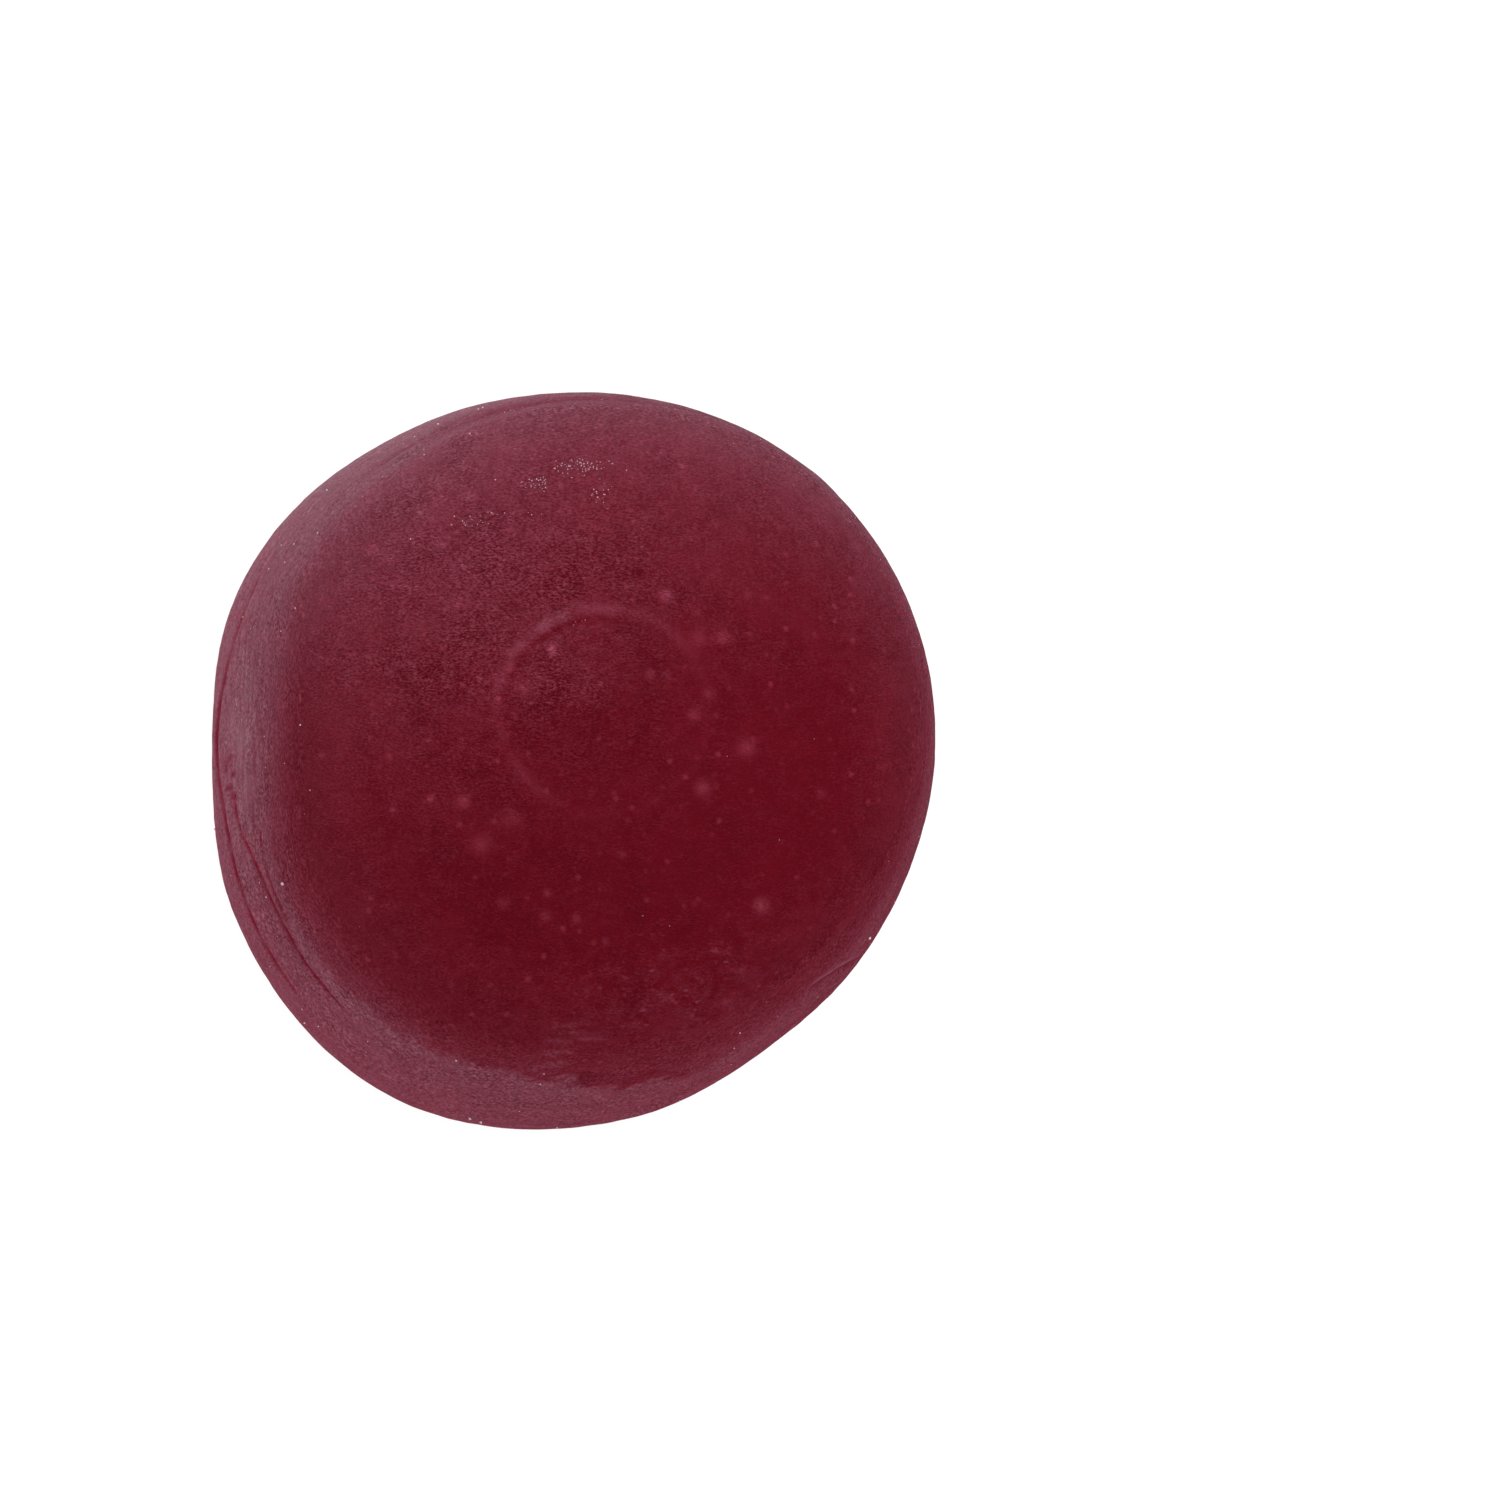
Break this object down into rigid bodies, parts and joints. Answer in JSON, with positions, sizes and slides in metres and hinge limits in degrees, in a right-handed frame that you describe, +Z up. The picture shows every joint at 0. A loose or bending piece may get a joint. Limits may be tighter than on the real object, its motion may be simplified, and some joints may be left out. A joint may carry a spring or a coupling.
{
  "type": "gummy candy",
  "caption": "Small round gummy drop with steep sides, a low domed top with a faint ring mark, one flattened side and a flat foot to rest on.",
  "frame": {"origin": "middle of the foot's box, on the surface the candy rests on", "axes": "+Z up through the domed top, -X towards the flattened side, +Y towards the top of the picture"},
  "size_m": [0.0166, 0.017, 0.0098],
  "materials": {
    "gelatine": "dull, slightly translucent wine-red gelatine with a pale bloom"
  },
  "bodies": {
    "root": {"gummy": "gelatine"}
  },
  "joints": []
}
